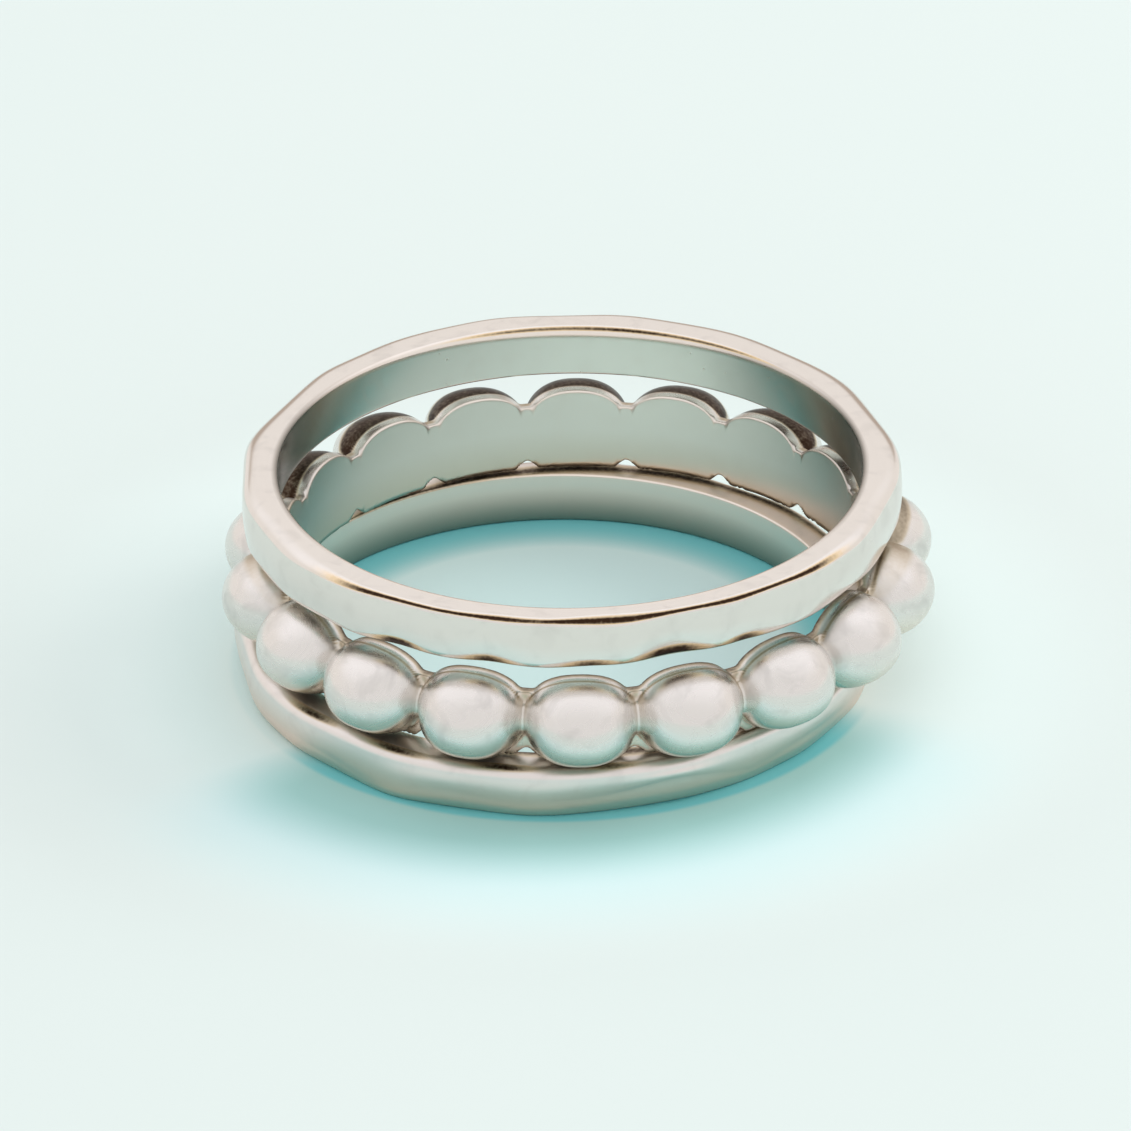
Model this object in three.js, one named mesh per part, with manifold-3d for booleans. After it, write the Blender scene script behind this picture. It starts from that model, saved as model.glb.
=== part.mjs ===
// A stack of three silver finger bands that rest on each other: a hammered band at the bottom,
// a cast band of oval beads on it, and a second hammered band on top.
// Millimetres, +Z up. The origin is on the surface that the stack rests on, under the beaded band's axis.

import * as THREE from "three";
import { mergeVertices } from "three/addons/utils/BufferGeometryUtils.js";
import Module from "manifold-3d";

const wasm = await Module();
wasm.setup();

// Driving dimensions: the finger, and how much each band's bore differs from it
const fingerRadius = 8.65;
const beadedBoreEase = 0.05;
const lowerBoreStep = 0.23;

// Upper hammered band
const upperWall = 1.2;
const upperHeight = 1.6;
const upperEdge = 0.22;
const upperFoot = 0.3;
const upperShift = { x: -0.22, y: 0.38 };

// Lower hammered band, whose foot is rounder than its other edges
const lowerWall = 1.28;
const lowerHeight = 1.6;
const lowerEdge = 0.2;
const lowerFoot = 0.34;
const lowerShift = { x: -0.68, y: -0.12 };

// Beaded band: a thin wall with oval beads, which stand above and below it by the drop and the rise.
// The beads' centres lie inside the wall, at the root share of its thickness from the bore.
const beadCount = 18;
const beadHeight = 2.64;
const beadReach = 1.68;
const beadOverlap = 0.1;
const beadRootShare = 0.65;
const beadedWall = 0.55;
const valleyDrop = 0.42;
const valleyRise = 0.25;
const wallEdge = 0.12;

// Clearances between the bands, where they lie on each other
const seatClearance = 0.04;
const upperDaylight = 0.4;

// Faceting, and the share of a section's smaller side that one rounded corner may take
const bandSegments = 72;
const arcDivisions = 1;
const beadSides = 14;
const beadRings = 8;
const cornerShare = 0.45;

// Hammer blows around each plain band. A blow planes the outside flat at an azimuth in degrees.
// depth and lean are shares of the band's wall: how far the flat lies inside the full radius,
// and how much further out its top is than its foot.
const upperBlows = [
  { azimuth: 18, depth: 0.17, lean: 0.03 },
  { azimuth: 47, depth: 0.09, lean: -0.04 },
  { azimuth: 70, depth: 0.08, lean: 0.05 },
  { azimuth: 91, depth: 0.14, lean: -0.02 },
  { azimuth: 114, depth: 0.1, lean: 0.04 },
  { azimuth: 133, depth: 0.14, lean: 0.02 },
  { azimuth: 153, depth: 0.25, lean: -0.03 },
  { azimuth: 180, depth: 0.15, lean: 0.05 },
  { azimuth: 203, depth: 0.1, lean: -0.04 },
  { azimuth: 222, depth: 0.12, lean: 0.03 },
  { azimuth: 240, depth: 0.22, lean: -0.05 },
  { azimuth: 256, depth: 0.28, lean: 0.04 },
  { azimuth: 273, depth: 0.28, lean: -0.03 },
  { azimuth: 290, depth: 0.33, lean: 0.05 },
  { azimuth: 306, depth: 0.24, lean: -0.02 },
  { azimuth: 323, depth: 0.16, lean: 0.03 },
  { azimuth: 343, depth: 0.17, lean: -0.04 },
];
const lowerBlows = [
  { azimuth: 9, depth: 0.14, lean: 0.1 },
  { azimuth: 30, depth: 0.08, lean: -0.05 },
  { azimuth: 53, depth: 0.13, lean: 0.06 },
  { azimuth: 76, depth: 0.09, lean: -0.04 },
  { azimuth: 98, depth: 0.14, lean: 0.08 },
  { azimuth: 121, depth: 0.1, lean: -0.06 },
  { azimuth: 146, depth: 0.15, lean: 0.05 },
  { azimuth: 168, depth: 0.1, lean: 0.04 },
  { azimuth: 190, depth: 0.2, lean: -0.03 },
  { azimuth: 209, depth: 0.1, lean: 0.06 },
  { azimuth: 227, depth: 0.17, lean: 0.1 },
  { azimuth: 257, depth: 0.07, lean: 0.04 },
  { azimuth: 279, depth: 0.08, lean: 0.1 },
  { azimuth: 309, depth: 0.17, lean: 0.05 },
  { azimuth: 331, depth: 0.1, lean: 0.11 },
  { azimuth: 350, depth: 0.14, lean: 0.06 },
];

// Sizes worked out from the driving dimensions
const beadedBore = fingerRadius + beadedBoreEase;
const lowerBore = fingerRadius - lowerBoreStep;
const beadCentreRadius = beadedBore + beadRootShare * beadedWall;
const beadPitch = (2 * Math.PI * beadCentreRadius) / beadCount;
const beadHalfLength = beadPitch / 2 + beadOverlap;
const beadsBase = lowerHeight + seatClearance;
const beadsMiddle = beadsBase + beadHeight / 2;
const upperBase = beadsBase + beadHeight + upperDaylight;

// A closed section in the plane of radius and height, going round a rectangle with rounded corners
function roundedSection({ inner, outer, base, top, innerEdge, outerEdge, outerFoot }) {
  const room = cornerShare * Math.min(outer - inner, top - base);
  const insideEdge = Math.min(innerEdge, room);
  const crownEdge = Math.min(outerEdge, room);
  const footEdge = Math.min(outerFoot, room);
  const quarter = Math.PI / 2;
  const section = new THREE.Path();
  section.absarc(outer - footEdge, base + footEdge, footEdge, -quarter, 0);
  section.absarc(outer - crownEdge, top - crownEdge, crownEdge, 0, quarter);
  section.absarc(inner + insideEdge, top - insideEdge, insideEdge, quarter, 2 * quarter);
  section.absarc(inner + insideEdge, base + insideEdge, insideEdge, 2 * quarter, 3 * quarter);
  section.closePath();
  return section.getPoints(arcDivisions);
}

// A solid of revolution about the vertical axis
function turned(section) {
  const geometry = new THREE.LatheGeometry(section, bandSegments);
  geometry.rotateX(Math.PI / 2);
  return geometry;
}

// The radius that the hammer blows leave at an azimuth, at a share of the band's height from its middle
function hammeredRadius(azimuth, heightShare, outer, wall, blows) {
  let radius = outer;
  for (const blow of blows) {
    const turn = Math.cos(azimuth - THREE.MathUtils.degToRad(blow.azimuth));
    if (turn > 0) {
      const distance = outer - wall * (blow.depth - blow.lean * heightShare);
      radius = Math.min(radius, distance / turn);
    }
  }
  return radius;
}

// Moves each point of a turned band inwards by its share of the wall, so that the bore stays round
function hammer(geometry, { bore, wall, base, height, blows }) {
  const outer = bore + wall;
  const points = geometry.attributes.position;
  for (let index = 0; index < points.count; index += 1) {
    const x = points.getX(index);
    const y = points.getY(index);
    const radius = Math.hypot(x, y);
    const heightShare = (points.getZ(index) - base) / height - 0.5;
    const reach = hammeredRadius(Math.atan2(y, x), heightShare, outer, wall, blows);
    const moved = radius - ((radius - bore) / wall) * (outer - reach);
    points.setXY(index, (x * moved) / radius, (y * moved) / radius);
  }
  geometry.computeVertexNormals();
  return geometry;
}

function hammeredBand({ bore, wall, base, height, edge, foot, blows }) {
  const section = roundedSection({
    inner: bore,
    outer: bore + wall,
    base,
    top: base + height,
    innerEdge: edge,
    outerEdge: edge,
    outerFoot: foot,
  });
  return hammer(turned(section), { bore, wall, base, height, blows });
}

// Joining and cutting of closed meshes
function toSolid(geometry) {
  const bare = geometry.clone();
  bare.deleteAttribute("normal");
  bare.deleteAttribute("uv");
  const welded = mergeVertices(bare);
  const vertProperties = new Float32Array(welded.attributes.position.array);
  const triVerts = new Uint32Array(welded.index.array);
  return new wasm.Manifold(new wasm.Mesh({ numProp: 3, vertProperties, triVerts }));
}

function toGeometry(solid) {
  const mesh = solid.getMesh();
  const geometry = new THREE.BufferGeometry();
  geometry.setAttribute("position", new THREE.BufferAttribute(mesh.vertProperties, 3));
  geometry.setIndex(new THREE.BufferAttribute(mesh.triVerts, 1));
  geometry.computeVertexNormals();
  return geometry;
}

function bead(azimuth) {
  const geometry = new THREE.SphereGeometry(1, beadSides, beadRings);
  geometry.rotateX(Math.PI / 2);
  geometry.scale(beadReach, beadHalfLength, beadHeight / 2);
  geometry.translate(beadCentreRadius, 0, beadsMiddle);
  geometry.rotateZ(azimuth);
  return geometry;
}

// The wall with its beads, then the bore cut through them all so that the inside is smooth
function beadedBand() {
  const wallSection = roundedSection({
    inner: beadedBore - beadedWall,
    outer: beadedBore + beadedWall,
    base: beadsBase + valleyRise,
    top: beadsBase + beadHeight - valleyDrop,
    innerEdge: wallEdge,
    outerEdge: wallEdge,
    outerFoot: wallEdge,
  });
  let solid = toSolid(turned(wallSection));
  const firstBead = -Math.PI / 2;
  for (let place = 0; place < beadCount; place += 1) {
    solid = solid.add(toSolid(bead(firstBead + (place * 2 * Math.PI) / beadCount)));
  }
  const core = new THREE.CylinderGeometry(beadedBore, beadedBore, 2 * beadHeight, bandSegments);
  core.rotateX(Math.PI / 2);
  core.translate(0, 0, beadsMiddle);
  return toGeometry(solid.subtract(toSolid(core)));
}

// Finishes: bright silver above, a softer satin below
const polishedSilver = new THREE.MeshStandardMaterial({ color: 0xdcd8d3, roughness: 0.18, metalness: 1 });
const beadSilver = new THREE.MeshStandardMaterial({ color: 0xdad7d1, roughness: 0.22, metalness: 1 });
const satinSilver = new THREE.MeshStandardMaterial({ color: 0xcdccc6, roughness: 0.32, metalness: 1 });

function piece(name, geometry, material, shift) {
  const mesh = new THREE.Mesh(geometry, material);
  mesh.name = name;
  mesh.position.set(shift.x, shift.y, 0);
  return mesh;
}

const upperGeometry = hammeredBand({
  bore: fingerRadius,
  wall: upperWall,
  base: upperBase,
  height: upperHeight,
  edge: upperEdge,
  foot: upperFoot,
  blows: upperBlows,
});
const lowerGeometry = hammeredBand({
  bore: lowerBore,
  wall: lowerWall,
  base: 0,
  height: lowerHeight,
  edge: lowerEdge,
  foot: lowerFoot,
  blows: lowerBlows,
});

const stack = new THREE.Group();
stack.add(piece("lower_hammered_band", lowerGeometry, satinSilver, lowerShift));
stack.add(piece("beaded_band", beadedBand(), beadSilver, { x: 0, y: 0 }));
stack.add(piece("upper_hammered_band", upperGeometry, polishedSilver, upperShift));

export default stack;
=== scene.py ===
"""Dressed model of a stack of three silver finger bands, two hammered ones round a band of beads.

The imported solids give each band's place, bore, heights and hammered outline. Finer meshes with
worn edges, softened hammer flats and fused beads stand for them, in the light of a pale studio tent.
"""

import logging
import math
from dataclasses import dataclass
from enum import Enum
from typing import Any, Callable, Optional, Union

import bpy
import numpy as np
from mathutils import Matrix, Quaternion, Vector


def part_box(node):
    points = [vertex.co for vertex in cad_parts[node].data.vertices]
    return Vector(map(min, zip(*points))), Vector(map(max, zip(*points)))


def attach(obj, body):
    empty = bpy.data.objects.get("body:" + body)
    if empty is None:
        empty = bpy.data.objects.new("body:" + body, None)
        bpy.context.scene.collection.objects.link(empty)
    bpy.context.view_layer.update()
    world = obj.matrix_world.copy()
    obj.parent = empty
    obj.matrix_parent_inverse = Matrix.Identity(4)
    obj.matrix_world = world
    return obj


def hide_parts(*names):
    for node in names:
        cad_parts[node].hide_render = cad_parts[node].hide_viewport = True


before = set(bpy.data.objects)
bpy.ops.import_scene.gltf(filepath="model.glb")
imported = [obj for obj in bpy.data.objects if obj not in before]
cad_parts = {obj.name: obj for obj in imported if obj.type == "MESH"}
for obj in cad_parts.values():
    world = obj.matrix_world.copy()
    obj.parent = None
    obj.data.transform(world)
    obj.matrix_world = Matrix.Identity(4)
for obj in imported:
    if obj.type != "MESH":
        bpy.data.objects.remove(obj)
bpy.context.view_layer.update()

LOG = logging.getLogger("stack")
MM = 0.001
BODY = "root"
IMAGE_PIXELS = 1131
FIT_ROUNDS = 6

Colour = tuple[float, float, float]
Span = tuple[float, float]
Number = Union[float, "Value"]


class Slot(Enum):
    """The record's material slots."""

    POLISHED = "polished_silver"
    BEAD = "bead_silver"
    SATIN = "satin_silver"


class Node(Enum):
    """The solids that the finer meshes stand for."""

    UPPER = "upper_hammered_band"
    BEADED = "beaded_band"
    LOWER = "lower_hammered_band"


class Value:
    """A number socket of a node tree, on which Python's operators add Math nodes."""

    def __init__(self, sheet: "Sheet", socket: bpy.types.NodeSocket) -> None:
        """Keeps the sheet and the socket.

        Args:
            sheet: The node tree's helper.
            socket: The output socket that holds the number.
        """
        self.sheet = sheet
        self.socket = socket

    def __add__(self, other: Number) -> "Value":
        """Sum."""
        return self.sheet.math("ADD", self, other)

    def __radd__(self, other: Number) -> "Value":
        """Sum with the number first."""
        return self.sheet.math("ADD", other, self)

    def __sub__(self, other: Number) -> "Value":
        """Difference."""
        return self.sheet.math("SUBTRACT", self, other)

    def __rsub__(self, other: Number) -> "Value":
        """Difference with the number first."""
        return self.sheet.math("SUBTRACT", other, self)

    def __mul__(self, other: Number) -> "Value":
        """Product."""
        return self.sheet.math("MULTIPLY", self, other)

    def __rmul__(self, other: Number) -> "Value":
        """Product with the number first."""
        return self.sheet.math("MULTIPLY", other, self)


class Sheet:
    """Adds nodes to one node tree."""

    def __init__(self, tree: bpy.types.NodeTree) -> None:
        """Empties the tree and keeps it.

        Args:
            tree: The node tree of a material or of the world.
        """
        self.tree = tree
        tree.nodes.clear()

    def node(
        self,
        kind: str,
        settings: Optional[dict[str, Any]] = None,
        inputs: Optional[dict[Union[str, int], Any]] = None,
    ) -> bpy.types.Node:
        """Adds a node, sets it, and then fills or links its sockets.

        Args:
            kind: The node's type.
            settings: Its properties.
            inputs: Values, sockets or Value objects by socket name or number.

        Returns:
            The node.
        """
        made = self.tree.nodes.new(kind)
        for name, setting in (settings or {}).items():
            setattr(made, name, setting)
        for name, given in (inputs or {}).items():
            source = given.socket if isinstance(given, Value) else given
            if isinstance(source, bpy.types.NodeSocket):
                self.tree.links.new(source, made.inputs[name])
            else:
                made.inputs[name].default_value = source
        return made

    def math(self, operation: str, first: Number, second: Number) -> Value:
        """Works on two numbers with a Math node.

        Args:
            operation: The Math node's operation.
            first: The first number.
            second: The second number.

        Returns:
            The result.
        """
        made = self.node("ShaderNodeMath", {"operation": operation}, {0: first, 1: second})
        return Value(self, made.outputs[0])

    def step(self, value: Number, low: float, high: float) -> Value:
        """Rises smoothly from 0 to 1 as a value goes from one bound to the other.

        Args:
            value: The value.
            low: Where the rise begins.
            high: Where it ends.

        Returns:
            The share.
        """
        made = self.node(
            "ShaderNodeMapRange",
            {"interpolation_type": "SMOOTHSTEP"},
            {"Value": value, "From Min": low, "From Max": high},
        )
        return Value(self, made.outputs[0])

    def vector(self, operation: str, first: Any, second: Any) -> bpy.types.NodeSocket:
        """Works on two vectors with a Vector Math node.

        Args:
            operation: The Vector Math node's operation.
            first: A vector or its socket.
            second: A vector or its socket.

        Returns:
            The resulting vector's socket.
        """
        made = self.node("ShaderNodeVectorMath", {"operation": operation}, {0: first, 1: second})
        return made.outputs[0]

    def measure(self, operation: str, first: Any, second: Any = (0.0, 0.0, 0.0)) -> Value:
        """Works out a number from vectors with a Vector Math node.

        Args:
            operation: The Vector Math node's operation, such as LENGTH or DOT_PRODUCT.
            first: A vector or its socket.
            second: A vector or its socket, where the operation takes two.

        Returns:
            The number.
        """
        made = self.node("ShaderNodeVectorMath", {"operation": operation}, {0: first, 1: second})
        return Value(self, made.outputs["Value"])

    def blend(self, share: Number, first: Any, second: Any) -> bpy.types.NodeSocket:
        """Mixes two colours.

        Args:
            share: How much of the second colour shows.
            first: A colour or its socket.
            second: A colour or its socket.

        Returns:
            The mixed colour's socket.
        """
        inputs = {"Factor": share}
        for name, colour in (("A", first), ("B", second)):
            inputs[name] = colour if isinstance(colour, bpy.types.NodeSocket) else (*colour, 1.0)
        made = self.node("ShaderNodeMix", {"data_type": "RGBA"}, inputs)
        return next(socket for socket in made.outputs if socket.type == "RGBA")

    def noise(self, place: Any, scale: float, detail: float = 3.0, distortion: float = 0.0) -> Value:
        """Samples fractal noise.

        Args:
            place: The coordinates' socket.
            scale: Grains to a unit of the coordinates.
            detail: Octaves.
            distortion: How far the grains are drawn out.

        Returns:
            The noise from 0 to 1.
        """
        made = self.node(
            "ShaderNodeTexNoise",
            {"noise_dimensions": "3D"},
            {"Vector": place, "Scale": scale, "Detail": detail, "Distortion": distortion},
        )
        return Value(self, made.outputs[0])


def rise(values: np.ndarray, span: Span) -> np.ndarray:
    """Rises evenly from 0 at a span's first bound to 1 at its second, whichever is the larger.

    Args:
        values: The values.
        span: The two bounds.

    Returns:
        The share at each value.
    """
    start, full = span
    return np.clip((values - start) / (full - start), 0, 1)


@dataclass(frozen=True)
class SilverFinish:
    """Plated silver: its tint, its polish, the marks that handling and casting left on it, and the light
    and shade painted into its colour: dark lines and patches of painted shade and reflection, partly
    real tarnishing, with a gold fringe, a painted warm cast low down, and painted light and shade in the
    bores.

    Lengths are in millimetres, heights of marks in thousandths of a millimetre, and counts are to a
    millimetre. The spans tell where a pattern fades in, from nothing to its full strength.
    """

    name: str
    slot: Slot
    tint: Colour = (0.8, 0.765, 0.72)
    # Painted light: a lighter tint that brightens the shaded bores.
    lightened_inside_tint: Colour = (0.87, 0.8, 0.72)
    # Straw and the darkest colour: a painted gold fringe, then dark lines and patches of painted shade and
    # reflection, partly real tarnishing.
    straw_and_painted_fringe: Colour = (0.85, 0.62, 0.3)
    tarnish_and_shade: Colour = (0.035, 0.018, 0.01)
    # Painted shade: a neutral dark on the bores' sides and low down.
    painted_shade: Colour = (0.06, 0.062, 0.05)
    # A painted warm cast low on the bands, offsetting the teal floor that the metal shows.
    warm_cast_tint: Colour = (0.8, 0.7, 0.6)
    straw_and_painted_fringe_share: float = 0.7
    straw_and_painted_fringe_span: Span = (0.0, 0.4)
    tarnish_and_shade_span: Span = (0.2, 0.95)
    grains: float = 9.0
    shade_and_tarnish_base: float = 0.7
    shade_and_tarnish_grain: float = 0.6
    smudge: float = 0.08
    streak_smudge: float = 0.3
    polish: float = 0.12
    inside_polish: float = 0.2
    dullness: float = 0.06
    streak_dullness: float = 0.04
    shade_and_tarnish_dullness: float = 0.1
    pit_dullness: float = 0.15
    scuff_length: float = 0.7
    scuff_span: Span = (0.45, 0.8)
    waves: float = 3.0
    wave_length: float = 2.4
    grain_height: float = 0.1
    hairlines: float = 0.35
    hairline_drift: float = 0.35
    hairlines_up: float = 14.0
    hairlines_out: float = 40.0
    pits: float = 1.0
    pit_depth: float = 1.6
    pit_spacing: float = 0.5
    pit_span: Span = (0.04, 0.13)
    pit_patches: float = 0.8
    pit_patch_span: Span = (0.55, 0.66)

    def material(self) -> bpy.types.Material:
        """Builds the material.

        Returns:
            The material, ready for a mesh.
        """
        material = bpy.data.materials.new(self.name)
        material.use_nodes = True
        sheet = Sheet(material.node_tree)
        place = self._millimetres(sheet)
        streaks = self._streaks(sheet, place)
        rubbed = sheet.noise(place, 1.0 / self.scuff_length, detail=3.5, distortion=0.6)
        scuffs = sheet.step(rubbed, *self.scuff_span)
        grain = sheet.noise(place, self.grains)
        inside = self._layer(sheet, "inside")
        # This share marks painted shade and dark reflections, partly real tarnishing.
        shade_and_tarnish_share = self._layer(sheet, "shade_lines_and_tarnish") * (self.shade_and_tarnish_base + self.shade_and_tarnish_grain * grain)
        pits = self._pits(sheet, place)
        dimmed = tuple((1 - self.smudge) * part for part in self.tint)
        smudges = scuffs + self.streak_smudge * streaks
        tint = sheet.blend(smudges, self.tint, dimmed)
        # Painted light: a lighter tint inside the bores.
        tint = sheet.blend(inside, tint, self.lightened_inside_tint)
        # A painted warm cast low on the bands.
        tint = sheet.blend(self._layer(sheet, "under"), tint, self.warm_cast_tint)
        # Painted shade on the bores' sides and low down.
        tint = sheet.blend(self._layer(sheet, "painted_shade"), tint, self.painted_shade)
        # A painted gold fringe, then the dark of the painted shade and reflection lines.
        straw_and_painted_fringe = sheet.step(shade_and_tarnish_share, *self.straw_and_painted_fringe_span) * self.straw_and_painted_fringe_share
        tint = sheet.blend(straw_and_painted_fringe, tint, self.straw_and_painted_fringe)
        colour = sheet.blend(sheet.step(shade_and_tarnish_share, *self.tarnish_and_shade_span), tint, self.tarnish_and_shade)
        ground = self.polish + (self.inside_polish - self.polish) * inside
        roughness = ground + self.dullness * scuffs + self.streak_dullness * streaks
        roughness = roughness + self.shade_and_tarnish_dullness * shade_and_tarnish_share + self.pit_dullness * pits
        waves = sheet.noise(place, 1.0 / self.wave_length, detail=1.5) * self.waves
        relief = waves + self.hairlines * streaks + self.grain_height * grain
        relief = relief - self.pit_depth * self.pits * pits
        bump = sheet.node("ShaderNodeBump", {}, {"Strength": 1.0, "Distance": MM * MM, "Height": relief})
        shader = sheet.node(
            "ShaderNodeBsdfPrincipled",
            {},
            {"Base Color": colour, "Metallic": 1.0, "Roughness": roughness, "Normal": bump.outputs[0]},
        )
        sheet.node("ShaderNodeOutputMaterial", {}, {"Surface": shader.outputs[0]})
        return material

    @staticmethod
    def _layer(sheet: Sheet, name: str) -> Value:
        """Reads one of the mesh's shares.

        Args:
            sheet: The material's sheet.
            name: The share's name.

        Returns:
            The share from 0 to 1, or 0 where the mesh has none.
        """
        return Value(sheet, sheet.node("ShaderNodeAttribute", {"attribute_name": name}).outputs["Fac"])

    @staticmethod
    def _millimetres(sheet: Sheet) -> bpy.types.NodeSocket:
        """Gives the place on the object in millimetres.

        Args:
            sheet: The material's sheet.

        Returns:
            The vector's socket.
        """
        where = sheet.node("ShaderNodeTexCoord").outputs["Object"]
        return sheet.vector("MULTIPLY", where, (1 / MM, 1 / MM, 1 / MM))

    def _streaks(self, sheet: Sheet, place: bpy.types.NodeSocket) -> Value:
        """Draws fine lines that run round the band, as polishing leaves them.

        Args:
            sheet: The material's sheet.
            place: The place in millimetres.

        Returns:
            The lines' height from 0 to 1.
        """
        flat = sheet.vector("MULTIPLY", place, (self.hairline_drift, self.hairline_drift, 0.0))
        across = sheet.measure("LENGTH", flat)
        height = Value(sheet, sheet.node("ShaderNodeSeparateXYZ", {}, {0: place}).outputs[2])
        level = self.hairlines_up * height + self.hairlines_out * across
        lines = sheet.node("ShaderNodeCombineXYZ", {}, {2: level}).outputs[0]
        return sheet.noise(sheet.vector("ADD", flat, lines), 1.0)

    def _pits(self, sheet: Sheet, place: bpy.types.NodeSocket) -> Value:
        """Scatters small pits, such as casting and wear leave.

        Args:
            sheet: The material's sheet.
            place: The place in millimetres.

        Returns:
            The pits' depth from 0 to 1.
        """
        cells = sheet.node(
            "ShaderNodeTexVoronoi",
            {},
            {"Vector": place, "Scale": 1.0 / self.pit_spacing, "Randomness": 1.0},
        )
        near = 1.0 - sheet.step(Value(sheet, cells.outputs["Distance"]), *self.pit_span)
        some = sheet.step(sheet.noise(place, self.pit_patches, detail=2.0), *self.pit_patch_span)
        return near * some


@dataclass(frozen=True)
class Mark:
    """A stretch of wear or dirt round a band: its azimuth and width in degrees, and its depth."""

    azimuth: float
    width: float
    depth: float

    def share(self, degrees: np.ndarray) -> np.ndarray:
        """Tells how much of the mark is felt at each azimuth.

        Args:
            degrees: Azimuths in degrees.

        Returns:
            A bell from 0 to 1 round the mark's azimuth.
        """
        away = (degrees - self.azimuth + 180.0) % 360.0 - 180.0
        return np.exp(-0.5 * (away / self.width) ** 2)


def marks(*rows: tuple[float, float, float]) -> tuple[Mark, ...]:
    """Turns rows of azimuth, width and depth into marks."""
    return tuple(Mark(*row) for row in rows)


def depth_of(given: tuple[Mark, ...], degrees: np.ndarray) -> np.ndarray:
    """Adds up marks.

    Args:
        given: The marks.
        degrees: Azimuths in degrees.

    Returns:
        The depth at each azimuth, in the marks' own unit.
    """
    return sum((mark.depth * mark.share(degrees) for mark in given), np.zeros_like(degrees))


@dataclass(frozen=True)
class Edge:
    """How far one edge of a band's section is worn, in metres across the wall and along the height.

    A flat share of 0 is a round, 1 a straight bevel. Each mark makes the wear larger near its azimuth
    by its depth, as a share of the size elsewhere, and a soft mark makes it round there too, the
    more the higher the softening.
    """

    across: float
    along: float
    flat: float = 0.0
    marks: tuple[Mark, ...] = ()
    soft_marks: tuple[Mark, ...] = ()
    softening: float = 1.5

    def sizes(self, degrees: np.ndarray) -> tuple[np.ndarray, np.ndarray]:
        """Gives the edge's two sizes round the band.

        Args:
            degrees: Azimuths in degrees.

        Returns:
            The size across the wall and the size along the height, at each azimuth.
        """
        growth = 1 + depth_of(self.marks, degrees) + depth_of(self.soft_marks, degrees)
        return self.across * growth, self.along * growth

    def flatness(self, degrees: np.ndarray) -> np.ndarray:
        """Gives the edge's flat share round the band.

        Args:
            degrees: Azimuths in degrees.

        Returns:
            The share at each azimuth, as a column.
        """
        soft = sum((mark.share(degrees) for mark in self.soft_marks), np.zeros_like(degrees))
        return (self.flat * (1 - np.clip(self.softening * soft, 0, 1)))[:, None]


def smoothed(values: np.ndarray, degrees: float) -> np.ndarray:
    """Blurs evenly spaced values round a whole turn.

    Args:
        values: The values.
        degrees: The blur's width.

    Returns:
        The blurred values.
    """
    waves = np.fft.rfft(values)
    fade = np.exp(-0.5 * (np.arange(len(waves)) * math.radians(degrees)) ** 2)
    return np.fft.irfft(waves * fade, len(values))


@dataclass(frozen=True)
class PaintedLine:
    """A dark line of painted reflection and shade along one worn edge, at a share of the way round the
    edge's arc.

    It spreads by shares of the arc before and after its place, and its peak and cut sharpen it.
    """

    marks: tuple[Mark, ...] = ()
    place: float = 0.5
    before: float = 0.35
    after: float = 0.35
    peak: float = 1.6
    cut: float = 0.3

    def shares(self, degrees: np.ndarray, parts: np.ndarray) -> np.ndarray:
        """Tells how dark the line is.

        Args:
            degrees: Azimuths in degrees.
            parts: Shares of the way round the arc.

        Returns:
            The share at each azimuth and each part of the arc.
        """
        spread = np.where(parts < self.place, self.before, self.after)
        across = np.clip(self.peak * np.exp(-(((parts - self.place) / spread) ** 2)) - self.cut, 0, 1)
        ends = np.sin(parts * math.pi) ** 0.5
        return np.clip(depth_of(self.marks, degrees), 0, 1)[:, None] * across * ends


@dataclass
class Bore:
    """The round hole of a packed band: its axis and radius, in metres."""

    x: float
    y: float
    radius: float

    @classmethod
    def of(cls, node: bpy.types.Object, reach: float = 0.1 * MM) -> "Bore":
        """Fits a circle to the points of a band that lie nearest its axis.

        Args:
            node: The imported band.
            reach: How far beyond the nearest point others still count as the bore's.

        Returns:
            The bore.
        """
        points = np.array([v.co[:2] for v in node.data.vertices])
        centre = (points.min(0) + points.max(0)) / 2
        radius = 0.0
        for _ in range(FIT_ROUNDS):
            away = np.hypot(*(points - centre).T)
            near = points[away < max(away.min(), radius - reach) + 2 * reach]
            sides = np.column_stack([2 * near, np.ones(len(near))])
            a, b, c = np.linalg.lstsq(sides, (near**2).sum(1), rcond=None)[0]
            centre = np.array([a, b])
            radius = math.sqrt(c + a * a + b * b)
        return cls(float(centre[0]), float(centre[1]), radius)

    def points(self, azimuth: np.ndarray, radius: np.ndarray, height: np.ndarray) -> np.ndarray:
        """Turns places round the bore's axis into points in space.

        Args:
            azimuth: The azimuth of each section, in radians.
            radius: The radius of each point of each section.
            height: Its height.

        Returns:
            The points, as turns by section points by three.
        """
        x = self.x + radius * np.cos(azimuth)[:, None]
        y = self.y + radius * np.sin(azimuth)[:, None]
        return np.stack([x, y, height], -1)


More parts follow.
